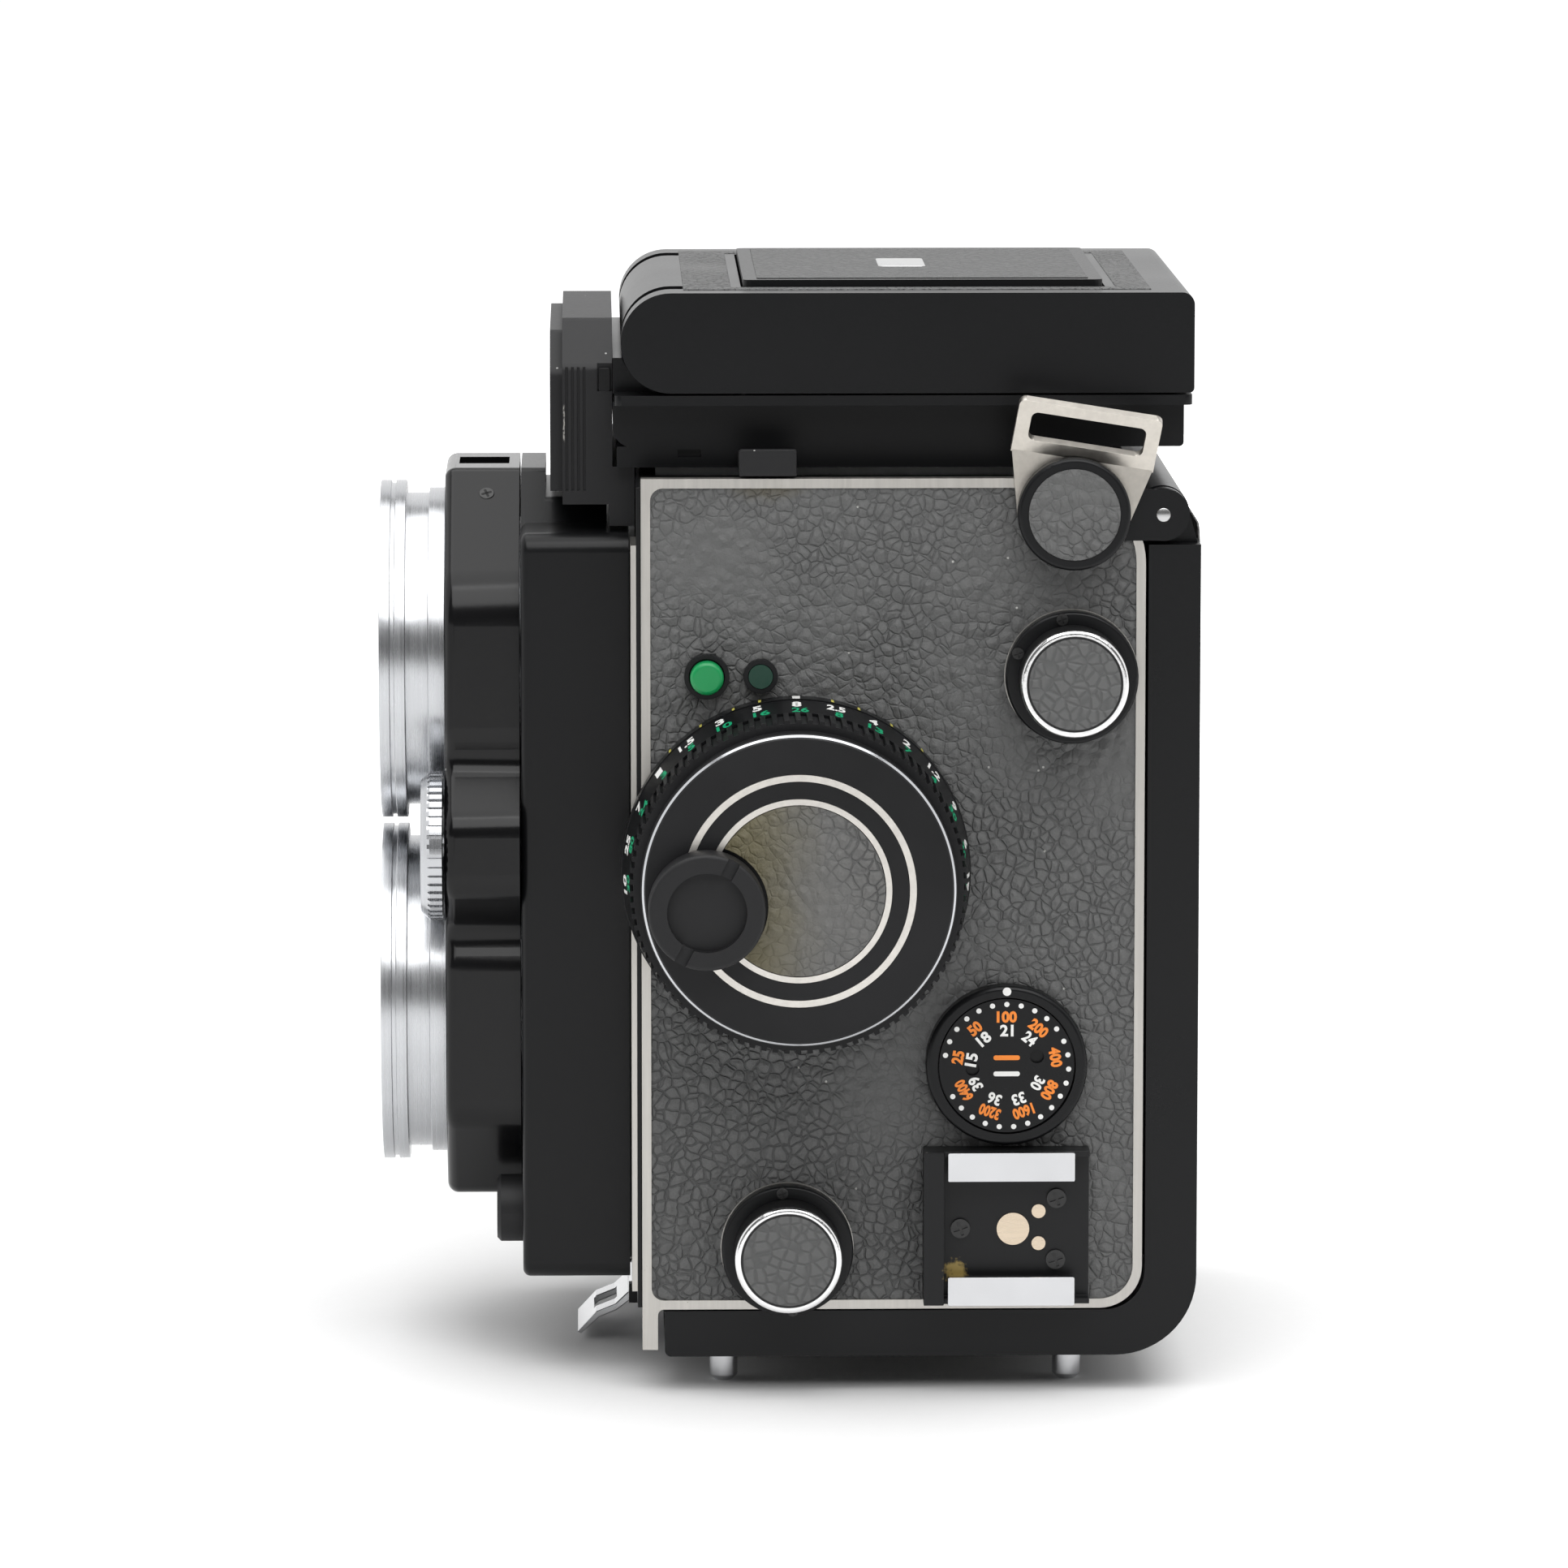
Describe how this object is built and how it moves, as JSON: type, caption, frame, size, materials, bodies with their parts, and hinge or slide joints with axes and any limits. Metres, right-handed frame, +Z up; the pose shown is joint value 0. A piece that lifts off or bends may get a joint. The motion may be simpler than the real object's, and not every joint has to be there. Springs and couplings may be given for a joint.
{
  "type": "twin lens reflex camera",
  "caption": "Medium-format twin lens reflex camera with a folding waist-level hood, focus knob, winding crank, hinged back and accessory shoe.",
  "frame": {"origin": "mouth of the tripod socket in the floor of the back door, on the centre plane", "axes": "+Z up, +Y from the lenses towards the back, so the lenses face -Y; +X towards the focus knob"},
  "size_m": [0.1205, 0.1062, 0.1432],
  "materials": {
    "casting": "black painted die casting",
    "side_trim": "fine brushed satin with a warm tone",
    "leather": "grey pebbled grain",
    "window": "clear",
    "black_metal": "satin black",
    "black_plastic": "fine matt black",
    "mirror": "front-silvered",
    "screen": "fine ground",
    "bright_metal": "turned and polished",
    "contact_metal": "lightly worn plating",
    "black_steel": "blackened screws",
    "lamp_green": "dark translucent green",
    "steel": "plain",
    "glass": "coated optical glass",
    "nickel": "satin nickel, slightly aged",
    "button_green": "bright green"
  },
  "bodies": {
    "body": {"body_casting": "casting", "side_plates": "side_trim", "body_leathers": "leather", "counter_window": "window", "front_plate": "black_metal", "reflex_mirror": "mirror", "focusing_screen": "screen", "door_hinge": "black_metal", "hood_base": "black_metal", "name_plate_cover": "black_plastic", "hot_shoe_base": "black_plastic", "hot_shoe_rails": "bright_metal", "hot_shoe_contacts": "contact_metal", "side_screws": "black_steel", "side_collars": "black_metal", "exposure_lamp": "lamp_green", "spool_knob_bases": "black_metal", "strap_lug_caps": "black_metal"},
    "door": {"back_door": "black_metal", "feet": "bright_metal", "tripod_insert": "steel", "pressure_springs": "steel"},
    "pressure": {"pressure_plate": "black_metal"},
    "latch": {"door_latch": "bright_metal"},
    "lid": {"hood_lid": "black_metal", "lid_leather": "leather"},
    "flap": {"finder_flap": "black_metal"},
    "wall_focus_side": {"hood_wall_focus_side": "black_metal"},
    "wall_crank_side": {"hood_wall_crank_side": "black_metal"},
    "wall_rear": {"hood_wall_rear": "black_metal"},
    "magnifier": {"magnifier_frame": "black_metal", "magnifier_lens": "glass"},
    "clips": {"hood_clips": "black_plastic"},
    "standard": {"front_housing": "black_metal", "lens_panel": "black_metal", "lens_barrels": "bright_metal", "lenses": "glass", "shutter_unit": "black_metal", "sync_socket": "black_plastic"},
    "aperture": {"aperture_wheel": "bright_metal"},
    "speed": {"shutter_speed_wheel": "bright_metal"},
    "release": {"release_button": "bright_metal"},
    "focus": {"focus_knob": "black_metal", "focus_scale_ring": "black_metal", "focus_rings": "bright_metal", "focus_leather": "leather"},
    "cup": {"finger_cup": "black_plastic"},
    "crank": {"crank_hub": "black_metal"},
    "arm": {"crank_arm": "bright_metal"},
    "grip": {"crank_grip": "black_plastic"},
    "takeup": {"takeup_spool": "black_plastic"},
    "supply": {"supply_spool": "black_plastic"},
    "roller_lower": {"film_roller_lower": "bright_metal"},
    "roller_upper": {"film_roller_upper": "bright_metal"},
    "takeup_pull": {"takeup_knob": "black_metal"},
    "supply_pull": {"supply_knob": "black_metal"},
    "dial": {"film_speed_dial": "black_metal"},
    "button": {"check_button": "button_green"},
    "lug_focus_side": {"strap_lug_focus_side": "nickel"},
    "lug_crank_side": {"strap_lug_crank_side": "nickel"}
  },
  "joints": [
    {"name": "door_open", "type": "hinge", "parent": "body", "child": "door", "pos_m": [0, 0.0284, 0.1095], "axis": [1, 0, 0], "range_deg": [0, 105]},
    {"name": "pressure_float", "type": "slide", "parent": "door", "child": "pressure", "axis": [0, 1, 0], "range_m": [0, 0.0008], "stiffness_N_per_m": 2000, "springref_m": -0.001},
    {"name": "latch_swing", "type": "hinge", "parent": "door", "child": "latch", "pos_m": [0, -0.0386, 0.0017], "axis": [1, 0, 0], "range_deg": [0, 35]},
    {"name": "lid_open", "type": "hinge", "parent": "body", "child": "lid", "pos_m": [0, -0.0344, 0.13085], "axis": [1, 0, 0], "range_deg": [0, 90]},
    {"name": "flap_push", "type": "hinge", "parent": "lid", "child": "flap", "pos_m": [0, 0.0215, 0.1369], "axis": [1, 0, 0], "range_deg": [0, 5], "stiffness_Nm_per_rad": 0.1, "springref_deg": -6.88},
    {"name": "wall_focus_side_fold", "type": "hinge", "parent": "body", "child": "wall_focus_side", "pos_m": [0.0324, 0.001, 0.1254], "axis": [0, 1, 0], "range_deg": [0, 90]},
    {"name": "wall_crank_side_fold", "type": "hinge", "parent": "body", "child": "wall_crank_side", "pos_m": [-0.0324, 0.001, 0.1254], "axis": [0, -1, 0], "range_deg": [0, 90]},
    {"name": "wall_rear_fold", "type": "hinge", "parent": "body", "child": "wall_rear", "pos_m": [0, 0.0294, 0.1271], "axis": [-1, 0, 0], "range_deg": [0, 90]},
    {"name": "magnifier_swing", "type": "hinge", "parent": "lid", "child": "magnifier", "pos_m": [0, 0.0054, 0.1321], "axis": [-1, 0, 0], "range_deg": [0, 90]},
    {"name": "clips_slide", "type": "slide", "parent": "body", "child": "clips", "axis": [0, 1, 0], "range_m": [0, 0.0025]},
    {"name": "standard_slide", "type": "slide", "parent": "body", "child": "standard", "axis": [0, -1, 0], "range_m": [0, 0.008]},
    {"name": "focus_turn", "type": "hinge", "parent": "body", "child": "focus", "pos_m": [0.05, -0.0186, 0.0639], "axis": [1, 0, 0], "range_deg": [0, 300]},
    {"name": "cup_spin", "type": "hinge", "parent": "focus", "child": "cup", "pos_m": [0.065, -0.0303, 0.0619], "axis": [1, 0, 0], "continuous": true},
    {"name": "aperture_turn", "type": "hinge", "parent": "standard", "child": "aperture", "pos_m": [0.0236, -0.0655, 0.0641], "axis": [0, -1, 0], "range_deg": [-60, 60]},
    {"name": "speed_turn", "type": "hinge", "parent": "standard", "child": "speed", "pos_m": [-0.0236, -0.0655, 0.0641], "axis": [0, -1, 0], "range_deg": [-75, 75]},
    {"name": "release_press", "type": "slide", "parent": "standard", "child": "release", "axis": [0, 1, 0], "range_m": [0, 0.0022], "stiffness_N_per_m": 300, "springref_m": -0.001},
    {"name": "crank_turn", "type": "hinge", "parent": "body", "child": "crank", "pos_m": [-0.046, -0.00451, 0.06759], "axis": [-1, 0, 0], "range_deg": [0, 360]},
    {"name": "arm_fold", "type": "hinge", "parent": "crank", "child": "arm", "pos_m": [-0.0512, -0.00451, 0.06759], "axis": [0, 1, 0], "range_deg": [0, 180]},
    {"name": "grip_spin", "type": "hinge", "parent": "arm", "child": "grip", "pos_m": [-0.047, -0.00451, 0.03759], "axis": [1, 0, 0], "continuous": true},
    {"name": "takeup_turn", "type": "hinge", "parent": "body", "child": "takeup", "pos_m": [0, 0.0167, 0.0888], "axis": [-1, 0, 0], "range_deg": [-480, 0]},
    {"name": "supply_turn", "type": "hinge", "parent": "body", "child": "supply", "pos_m": [0, -0.0197, 0.0144], "axis": [1, 0, 0], "continuous": true},
    {"name": "roller_lower_turn", "type": "hinge", "parent": "body", "child": "roller_lower", "pos_m": [0, 0.0238, 0.0095], "axis": [1, 0, 0], "continuous": true},
    {"name": "roller_upper_turn", "type": "hinge", "parent": "body", "child": "roller_upper", "pos_m": [0, 0.0238, 0.0727], "axis": [1, 0, 0], "continuous": true},
    {"name": "takeup_knob_pull", "type": "slide", "parent": "body", "child": "takeup_pull", "axis": [1, 0, 0], "range_m": [0, 0.0055]},
    {"name": "supply_knob_pull", "type": "slide", "parent": "body", "child": "supply_pull", "axis": [1, 0, 0], "range_m": [0, 0.0055]},
    {"name": "dial_turn", "type": "hinge", "parent": "body", "child": "dial", "pos_m": [0.044, 0.0085, 0.0385], "axis": [1, 0, 0], "range_deg": [-150, 150]},
    {"name": "button_press", "type": "slide", "parent": "body", "child": "button", "axis": [-1, 0, 0], "range_m": [0, 0.001], "stiffness_N_per_m": 300, "springref_m": -0.0008},
    {"name": "lug_focus_side_swivel", "type": "hinge", "parent": "body", "child": "lug_focus_side", "pos_m": [0.045, 0.0168, 0.11], "axis": [1, 0, 0], "range_deg": [-80, 80]},
    {"name": "lug_crank_side_swivel", "type": "hinge", "parent": "body", "child": "lug_crank_side", "pos_m": [-0.045, 0.0168, 0.11], "axis": [1, 0, 0], "range_deg": [-80, 80]}
  ],
  "couplings": [
    {"joint": "wall_focus_side_fold", "follows": "lid_open", "ratio": 1},
    {"joint": "wall_crank_side_fold", "follows": "lid_open", "ratio": 1},
    {"joint": "wall_rear_fold", "follows": "lid_open", "ratio": 1},
    {"joint": "magnifier_swing", "follows": "lid_open", "ratio": 1},
    {"joint": "standard_slide", "follows": "focus_turn", "m_per_rad": 0.0015279},
    {"joint": "takeup_turn", "follows": "crank_turn", "ratio": -1.3077}
  ]
}
